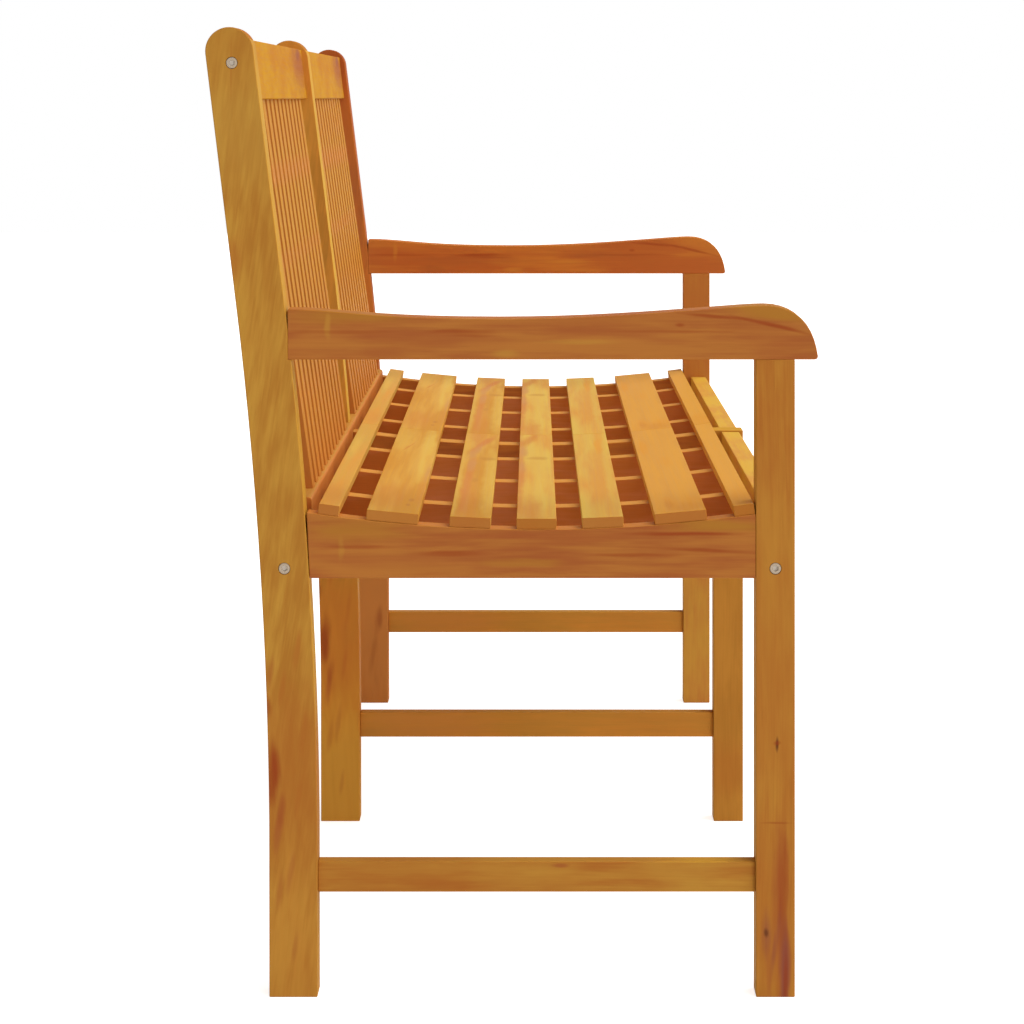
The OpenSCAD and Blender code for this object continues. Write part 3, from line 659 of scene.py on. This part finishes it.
# %% Finish the legs
LEFT_LEG_MARKS = [
    # shades and streaks of heartwood
    mark("honey", 0.02, 0.0, 0.16, 0.05, 0.35, 0.2),
    mark("toffee", -0.255, 0.002, 0.090, 0.020, 0.5, 0.2),
    mark("russet", -0.245, -0.0062, 0.110, 0.0090, 0.85, 0.3),
    mark("rust", -0.215, -0.0075, 0.070, 0.0056, 0.55, 0.4),
    mark("plum", -0.285, -0.0085, 0.045, 0.0056, 1.0, 0.2),
    mark("rust", -0.295, -0.0095, 0.030, 0.0028, 0.6, 0.2),
    mark("plum", -0.250, 0.0080, 0.026, 0.0060, 0.6, 0.3),
    mark("russet", -0.285, 0.0060, 0.034, 0.0045, 0.6, 0.4),
    mark("plum", -0.262, 0.0000, 0.040, 0.0030, 0.5, 0.4, 0.15),
    # the knots, and a thin line across the grain
    mark("bark", -0.2488, 0.0089, 0.005, 0.003, 0.75, 0.0),
    mark("bark", -0.0724, -0.0014, 0.007, 0.0018, 0.9, 0.0),
    mark("rust", -0.0715, -0.0014, 0.0025, 0.004, 0.6, 0.0),
    mark("rust", -0.1465, -0.002, 0.0012, 0.018, 0.45, 0.0),
]

MIDDLE_LEG_MARKS = [mark("toffee", -0.168, 0.0, 0.035, 0.06, 0.5, 0.2)]
RIGHT_LEG_MARKS = [mark("umber", 0.22, 0.0, 0.13, 0.10, 1.0, 0.1)]

finish(oiled_wood("left_leg_wood", "honey", "toffee", edges="gold", clouds=0.6, flecks=0.35,
                  marks=LEFT_LEG_MARKS), "left_front_leg")
finish(oiled_wood("middle_leg_wood", "honey", "ochre", ends="maize", edges="gold", clouds=0.7,
                  marks=MIDDLE_LEG_MARKS), "middle_front_leg")
finish(oiled_wood("right_leg_wood", "gold", "amber", edges="gold", clouds=0.7,
                  marks=RIGHT_LEG_MARKS), "right_front_leg")

# %% [markdown]
# ## Arms, side rails and stretchers
# The arms and side rails are amber with reddish streaks that follow the grain and golden
# patches between them. Both arms come off one plank. The right one is redder, and its
# marks are fainter.

# %% Finish the arms
ARM_MARKS = [
    # golden patches
    mark("ochre", 0.190, 0.017, 0.070, 0.010, 0.8, 0.3),
    mark("ochre", -0.215, 0.019, 0.055, 0.010, 0.95, 0.1, -0.15),
    mark("gold", -0.034, -0.0088, 0.040, 0.003, 0.6, 0.4),
    mark("gold", 0.039, -0.0195, 0.014, 0.004, 0.6, 0.2),
    mark("gold", 0.2035, 0.005, 0.0035, 0.014, 0.6, 0.1),
    mark("amber", 0.02, 0.012, 0.10, 0.006, 0.5, 0.3),
    # reddish streaks
    mark("rust", 0.082, 0.0005, 0.036, 0.0030, 0.75, 0.25),
    mark("rust", 0.070, -0.0030, 0.026, 0.0016, 0.5, 0.2),
    mark("rust", 0.195, 0.0005, 0.050, 0.0020, 0.45, 0.3),
    mark("russet", 0.110, -0.006, 0.090, 0.008, 0.6, 0.3),
    mark("russet", -0.072, 0.0005, 0.062, 0.005, 0.75, 0.3),
    mark("rust", -0.120, 0.0010, 0.060, 0.0015, 0.45, 0.3),
    mark("rust", -0.158, 0.0153, 0.042, 0.0022, 0.75, 0.2, -0.09),
    mark("rust", -0.214, 0.0066, 0.040, 0.0022, 0.75, 0.2, -0.23),
    mark("rust", -0.1268, 0.0071, 0.005, 0.0022, 0.6, 0.0),
    mark("russet", 0.151, -0.0192, 0.028, 0.006, 0.7, 0.3),
]

RIGHT_ARM_MARKS = fainter(ARM_MARKS, 0.85, {"ochre": "clay", "gold": "orange", "amber": "cherry"})

finish(oiled_wood("left_arm_wood", "amber", "russet", clouds=0.8, flame=0.7, flecks=0.6,
                  length=1.5, marks=ARM_MARKS), "left_armrest")
finish(oiled_wood("right_arm_wood", "clay", "henna", clouds=0.8, flame=0.7, flecks=0.6,
                  length=1.5, marks=RIGHT_ARM_MARKS), "right_armrest")

# %% Finish the side rails
SIDE_RAIL_MARKS = [
    # golden patches
    mark("ochre", 0.170, 0.014, 0.060, 0.013, 0.8, 0.3),
    mark("ochre", -0.172, 0.0185, 0.055, 0.007, 0.95, 0.1),
    mark("ochre", 0.011, -0.0160, 0.042, 0.005, 0.7, 0.4),
    mark("gold", 0.179, -0.004, 0.0035, 0.011, 0.4, 0.1),
    # reddish streaks
    mark("rust", 0.077, -0.0079, 0.036, 0.0032, 0.75, 0.25),
    mark("rust", 0.161, -0.0014, 0.042, 0.0022, 0.45, 0.3),
    mark("russet", 0.110, -0.014, 0.090, 0.008, 0.5, 0.3),
    mark("rust", -0.148, 0.0108, 0.068, 0.0022, 0.8, 0.15),
    mark("russet", -0.050, 0.0085, 0.060, 0.004, 0.6, 0.3),
    mark("rust", -0.095, -0.0089, 0.042, 0.0022, 0.6, 0.2),
    mark("rust", -0.159, -0.0045, 0.054, 0.0022, 0.6, 0.2, -0.05),
]

finish(oiled_wood("left_side_rail_wood", "amber", "russet", edges="salmon", clouds=0.9, flame=0.8,
                  flecks=0.7, length=1.5, marks=SIDE_RAIL_MARKS), "left_seat_side_rail")
finish(oiled_wood("side_rail_wood", "clay", "russet", edges="peach", length=1.5), "middle_seat_rail",
       "right_seat_side_rail")

# %% Finish the stretchers
LEFT_STRETCHER_MARKS = [
    mark("toffee", 0.130, 0.0, 0.090, 0.040, 0.55, 0.2),
    mark("brass", 0.002, 0.0, 0.065, 0.030, 0.50, 0.3),
    mark("toffee", -0.106, 0.0, 0.045, 0.030, 0.25, 0.3),
    mark("maize", -0.150, 0.0150, 0.050, 0.0018, 0.9, 0.0),
    mark("russet", -0.021, 0.0108, 0.010, 0.0024, 0.8, 0.1),
]

STRETCHER_MARKS = [
    mark("coral", 0.13, 0.0, 0.09, 0.03, 0.5, 0.3),
    mark("toffee", -0.15, 0.0, 0.08, 0.03, 0.25, 0.3),
]

finish(oiled_wood("left_stretcher_wood", "gold", "toffee", edges="gold", clouds=0.7,
                  marks=LEFT_STRETCHER_MARKS), "left_stretcher")
finish(oiled_wood("stretcher_wood", "orange", "honey", edges="gold", clouds=0.7,
                  marks=STRETCHER_MARKS), "middle_stretcher", "right_stretcher")

# %% [markdown]
# ## Rails and supports
# The top rails are golden, and each has one dark stain near its right end. The aprons in
# front are straw coloured, and the rails at the back of the seat are orange. The supports
# under the seat are red-brown, with paler top edges.

# %% Finish the rails and supports
TOP_RAIL_MARKS = [
    mark("toffee", 0.210, 0.004, 0.100, 0.034, 0.80, 0.1, 0.1),
    mark("russet", 0.215, 0.014, 0.055, 0.018, 0.7, 0.1, 0.1),
    mark("plum", 0.205, 0.022, 0.026, 0.008, 0.6, 0.1),
]

finish(oiled_wood("top_rail_wood", "corn", "saffron", clouds=0.8, flecks=0.3, length=0.5,
                  marks=TOP_RAIL_MARKS), "left_top_rail", "right_top_rail")
finish(oiled_wood("rear_rail_wood", "coral", "clay", edges="honey"), "left_rear_seat_rail",
       "right_rear_seat_rail")
finish(oiled_wood("apron_wood", "straw", "peach", flame=0.8, flecks=0.8), "left_front_apron",
       "right_front_apron")
finish(oiled_wood("support_wood", "brick", "cherry", edges="peach"),
       *[f"seat_support_{i}" for i in SUPPORTS])

# %% [markdown]
# ## Slats
# Both halves of one seat slat come off the same plank, so they share a material and their
# figure repeats on either side of the middle. The seat is the palest wood of all, with
# pinkish swirls, yellow streaks and orange patches. The back slats are redder. Their sides,
# which face each other across the gaps, are painted dark, and a dark band is painted at
# their tops under the top rail; both are painted shade.

# %% Finish the seat slats
DRAWN_OUT = 2.2  # the seat's planks grew slowly


def finish_slat(i, light, dark, ends, marks):
    wood = oiled_wood(f"seat_slat_{i}_wood", light, dark, ends=ends, flame=1.0, flecks=0.3,
                      length=DRAWN_OUT, marks=marks)
    finish(wood, f"left_seat_slat_{i}", f"right_seat_slat_{i}")


finish_slat(1, "biscuit", "peach", "umber", [
    mark("apricot", -0.22, 0.0, 0.06, 0.02, 0.3, 0.2),
    mark("cream", 0.10, 0.002, 0.09, 0.006, 0.5, 0.3),
])
finish_slat(2, "wheat", "melon", "amber", [
    mark("cream", 0.18, -0.0155, 0.12, 0.0085, 0.9, 0.1),
    mark("cream", 0.02, -0.0140, 0.12, 0.0040, 0.8, 0.1, -0.02),
    mark("cream", 0.17, 0.0140, 0.10, 0.0120, 0.5, 0.2),
    mark("apricot", 0.137, 0.0060, 0.04, 0.0016, 0.8, 0.0, 0.15),
    mark("apricot", -0.19, 0.0080, 0.10, 0.0200, 0.5, 0.2),
    mark("apricot", -0.15, -0.0220, 0.10, 0.0060, 0.5, 0.2),
    mark("amber", -0.204, -0.0147, 0.010, 0.0030, 0.5, 0.0),
    mark("amber", -0.233, -0.0126, 0.008, 0.0025, 0.5, 0.0),
    mark("rose", -0.03, -0.0225, 0.06, 0.0030, 0.6, 0.1),
])
finish_slat(3, "wheat", "melon", "umber", [
    mark("cream", -0.04, -0.0140, 0.24, 0.0080, 0.8, 0.3),
    mark("cream", -0.10, 0.0175, 0.26, 0.0040, 0.6, 0.1),
    mark("apricot", 0.25, 0.0040, 0.09, 0.0120, 0.7, 0.1),
    mark("apricot", -0.20, 0.0015, 0.14, 0.0080, 0.7, 0.2),
    mark("coral", 0.205, -0.0040, 0.08, 0.0065, 0.9, 0.1, 0.18),
    mark("coral", -0.06, 0.0080, 0.28, 0.0055, 0.8, 0.1, 0.014),
    mark("rose", 0.135, 0.0050, 0.060, 0.0065, 0.8, 0.1, 0.10),
    mark("rose", 0.045, 0.0063, 0.050, 0.0060, 0.8, 0.1),
    mark("honey", 0.088, -0.0090, 0.014, 0.0100, 0.5, 0.0),
    mark("honey", -0.064, 0.0003, 0.018, 0.0040, 0.4, 0.0),
])
finish_slat(4, "cream", "peach", "toffee", [
    mark("cream", 0.0, -0.0040, 0.28, 0.0090, 0.6, 0.3),
    mark("peach", 0.06, -0.0180, 0.16, 0.0025, 0.8, 0.1),
    mark("apricot", 0.235, 0.0080, 0.070, 0.0090, 0.8, 0.1, 0.18),
    mark("apricot", -0.240, 0.0060, 0.090, 0.0140, 0.7, 0.2),
    mark("coral", 0.0, 0.0165, 0.30, 0.0050, 0.8, 0.1),
    mark("rose", 0.150, 0.0140, 0.050, 0.0055, 0.8, 0.1),
    mark("rose", 0.035, 0.0150, 0.050, 0.0050, 0.7, 0.1),
    mark("cream", -0.14, -0.0058, 0.12, 0.0022, 0.9, 0.0, -0.03),
    mark("honey", 0.096, -0.0020, 0.014, 0.0130, 0.5, 0.0),
])
finish_slat(5, "cream", "peach", "umber", [
    mark("cream", 0.02, -0.0135, 0.28, 0.0060, 0.7, 0.2),
    mark("peach", 0.0, -0.0020, 0.18, 0.0055, 0.5, 0.3, 0.03),
    mark("tangerine", 0.20, -0.0078, 0.090, 0.0055, 0.8, 0.2, 0.018),
    mark("sand", -0.265, -0.0020, 0.05, 0.0140, 0.35, 0.2),
])
finish_slat(6, "sand", "peach", "umber", [
    mark("tangerine", 0.145, 0.0165, 0.060, 0.0070, 0.8, 0.2),
    mark("tangerine", 0.03, -0.0020, 0.040, 0.0100, 0.4, 0.2),
    mark("tangerine", -0.260, -0.0060, 0.070, 0.0300, 0.6, 0.2),
    mark("tangerine", -0.225, 0.0084, 0.035, 0.0055, 0.8, 0.1),
    mark("tangerine", -0.235, -0.0150, 0.035, 0.0070, 0.8, 0.1),
    mark("orange", -0.235, 0.0084, 0.030, 0.0050, 0.5, 0.1),
    mark("orange", -0.255, -0.0080, 0.035, 0.0200, 0.4, 0.2),
])
finish_slat(7, "blond", "sand", "toffee", [
    mark("tangerine", -0.25, 0.0, 0.07, 0.016, 0.7, 0.2),
])

# %% Finish the back slats
BACK_SLAT_MARKS = [
    mark("clay", -0.22, 0.0, 0.16, 0.03, 0.5, 0.2),
    mark("coral", 0.115, 0.0, 0.014, 0.03, 0.7, 0.3),
    mark("coral", 0.030, 0.0, 0.010, 0.03, 0.4, 0.3),
    # painted shade: a dark band at the slats' tops, in the shadow under the top rail
    mark("cherry", 0.218, 0.0, 0.014, 0.03, 0.7, 0.2),
]

# painted shade: edges darkens the slats' sides, which face each other across the gaps
finish(oiled_wood("back_slat_wood", "melon", "orange", edges="umber", flame=0.8, flecks=0.2,
                  length=0.5, marks=BACK_SLAT_MARKS), "left_back_slats", "right_back_slats")
print(len(bpy.data.materials), "materials")

# %% [markdown]
# ## Fixings
# The bolts, studs, barrel nuts and screws are zinc plated steel gone dull and a little
# warm from the oil. The bolt heads show at both ends of the bench, so their rims get a
# small round. An attribute marks the faces inside their hexagon sockets, and the finish
# paints them paler there: painted light against the shade in those recesses. The dowels
# are plain beech.

# %% Eased bolt heads
HEAD_RIM = 0.0006
OUTSIDE = 0.001  # how near the end of the bench a rim lies
SOCKET_DEPTH, SOCKET_RADIUS = 0.0035, 0.0030


def eased_bolts():
    """The bolts, with rounded heads and marked sockets."""
    bm = clean_copy("frame_bolts")
    end = bench_high.x - OUTSIDE
    rims = [edge for edge in bm.edges if is_sharp(edge) and all(abs(v.co.x) > end for v in edge.verts)]
    bmesh.ops.bevel(bm, geom=rims, offset=HEAD_RIM, offset_type="OFFSET", affect="EDGES",
                    segments=3, profile=0.5, material=-1)
    for face in bm.faces:
        face.smooth = True
    for edge in bm.edges:
        edge.smooth = not is_sharp(edge)
    socket = bm.faces.layers.float.new("socket")
    for bolt in chains(bm.edges):
        points = points_of(bolt)
        middle = (points.min(0) + points.max(0)) / 2
        for face in {face for edge in bolt for face in edge.link_faces}:
            spot = face.calc_center_median()
            off_axis = math.hypot(spot.y - middle[1], spot.z - middle[2])
            deep = bench_high.x - abs(spot.x)
            face[socket] = float(off_axis < SOCKET_RADIUS and OUTSIDE < deep < SOCKET_DEPTH)
    piece = mesh_object("eased_bolts", bm)
    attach(piece, "root")
    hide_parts("frame_bolts")
    print(len(rims), "rim edges rounded on the bolt heads")
    return piece


# %% Zinc and beech
ZINC = (colour(0.42, 0.330, 0.240), colour(0.52, 0.420, 0.310))  # its darkest and palest spots
# painted light: a paler zinc that the sockets are drawn towards, against the shade in their recesses
SOCKET_PAINTED_LIGHT = colour(0.70, 0.64, 0.57)
SOCKET_LIGHT_SHARE = 0.7  # how far the socket is drawn towards it
BEECH = (colour(0.58, 0.36, 0.19), colour(0.68, 0.46, 0.26))
BEECH_FLECK = colour(0.38, 0.20, 0.09)


def dull_zinc():
    material, tree = new_material("dull_zinc")
    place = add(tree, "ShaderNodeTexCoord").outputs["Object"]
    spots = add(tree, "ShaderNodeTexNoise", {"Vector": place, "Scale": 700.0, "Detail": 3.0})
    tint = mix(tree, spots.outputs["Fac"], *ZINC)
    # painted light inside the sockets
    tint = tinted(tree, tint, "socket", SOCKET_PAINTED_LIGHT, SOCKET_LIGHT_SHARE)
    rough = do(tree, "MULTIPLY_ADD", spots.outputs["Fac"], 0.2, 0.50)
    surface = add(tree, "ShaderNodeBsdfPrincipled", {"Base Color": tint, "Roughness": rough,
                                                     "Metallic": 0.3})
    add(tree, "ShaderNodeOutputMaterial", {"Surface": surface.outputs[0]})
    return material


def beech():
    material, tree = new_material("beech")
    place = add(tree, "ShaderNodeTexCoord").outputs["Object"]
    flecks = smooth(tree, noise(tree, place, 250, 1400)["Fac"], 0.52, 0.68)
    clouds = noise(tree, place, 20, 160)["Fac"]
    tint = mix(tree, clouds, *BEECH)
    tint = mix(tree, do(tree, "MULTIPLY", flecks, 0.5), tint, BEECH_FLECK)
    surface = add(tree, "ShaderNodeBsdfPrincipled", {"Base Color": tint, "Roughness": 0.65})
    add(tree, "ShaderNodeOutputMaterial", {"Surface": surface.outputs[0]})
    return material


zinc = dull_zinc()
repaint(eased_bolts(), zinc)
for node in ("middle_studs", "barrel_nuts", "seat_screws"):
    repaint(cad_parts[node], zinc)
repaint(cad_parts["dowels"], beech())

# %% [markdown]
# ## Floor and light
# The bench stands on a white floor under an even sky. One broad lamp shines from in front
# and above, and a weaker one fills from the end where the camera is. Both are wide, so no
# hard shadow falls on the seat. The sky lights the bench softly and is plain white to the
# camera. The floor is white paint to the bench and brighter to the camera, so the bench's
# shadow is faint and shows only close to its feet.

# %% Sky
DAYLIGHT = (1.0, 0.985, 0.96)  # a touch warm
SKY = 0.30  # how strongly it lights the bench


def camera_sees(tree):
    """1 for rays from the camera, or by way of a mirror or glass."""
    path = add(tree, "ShaderNodeLightPath").outputs
    seen = do(tree, "MAXIMUM", path["Is Camera Ray"], path["Is Glossy Ray"])
    return do(tree, "MAXIMUM", seen, path["Is Transmission Ray"])


def sky():
    world = bpy.data.worlds.new("sky")
    world.use_nodes = True
    tree = world.node_tree
    tree.nodes.clear()
    even = add(tree, "ShaderNodeBackground", {"Color": colour(*DAYLIGHT), "Strength": SKY})
    white = add(tree, "ShaderNodeBackground", {"Color": colour(1, 1, 1), "Strength": 1.0})
    both = add(tree, "ShaderNodeMixShader", {0: camera_sees(tree), 1: even.outputs[0],
                                             2: white.outputs[0]})
    add(tree, "ShaderNodeOutputWorld", {"Surface": both.outputs[0]})
    bpy.context.scene.world = world


# %% Floor
FLOOR_REACH = 12  # metres each way
FLOOR_PAINT = colour(0.85, 0.85, 0.85)
FLOOR_GLOW = 0.75  # for the camera, on top of the light that falls on the paint


def floor():
    bm = bmesh.new()
    bmesh.ops.create_grid(bm, x_segments=1, y_segments=1, size=FLOOR_REACH)
    ground = mesh_object("floor", bm)
    material, tree = new_material("floor")
    paint = add(tree, "ShaderNodeBsdfDiffuse", {"Color": FLOOR_PAINT})
    glow = add(tree, "ShaderNodeEmission", {"Color": colour(1, 1, 1), "Strength": FLOOR_GLOW})
    lit = add(tree, "ShaderNodeAddShader", {0: paint.outputs[0], 1: glow.outputs[0]})
    both = add(tree, "ShaderNodeMixShader", {0: camera_sees(tree), 1: paint.outputs[0],
                                             2: lit.outputs[0]})
    add(tree, "ShaderNodeOutputMaterial", {"Surface": both.outputs[0]})
    repaint(ground, material)
    print("floor of", tuple(round(v, 1) for v in ground.dimensions), "metres")


# %% Lamps
LAMP_DISTANCE = 3  # a sun lamp shines alike from anywhere, so this only keeps it clear


def lamp(name, towards, energy, width):
    """A sun lamp in a direction from the bench, and as wide as so many degrees of sky."""
    data = bpy.data.lights.new(name, "SUN")
    data.energy = energy
    data.angle = math.radians(width)
    data.color = DAYLIGHT
    made = new_object(name, data)
    made.rotation_euler = Vector(towards).to_track_quat("Z", "Y").to_euler()
    made.location = Vector(towards) * LAMP_DISTANCE
    print(name, "lamp", width, "degrees wide")


sky()
floor()
lamp("broad", (-0.05, -0.48, 0.87), 2.2, 60)
lamp("fill", (-0.80, -0.50, 0.10), 0.75, 20)
bpy.context.scene.view_settings.view_transform = "Standard"
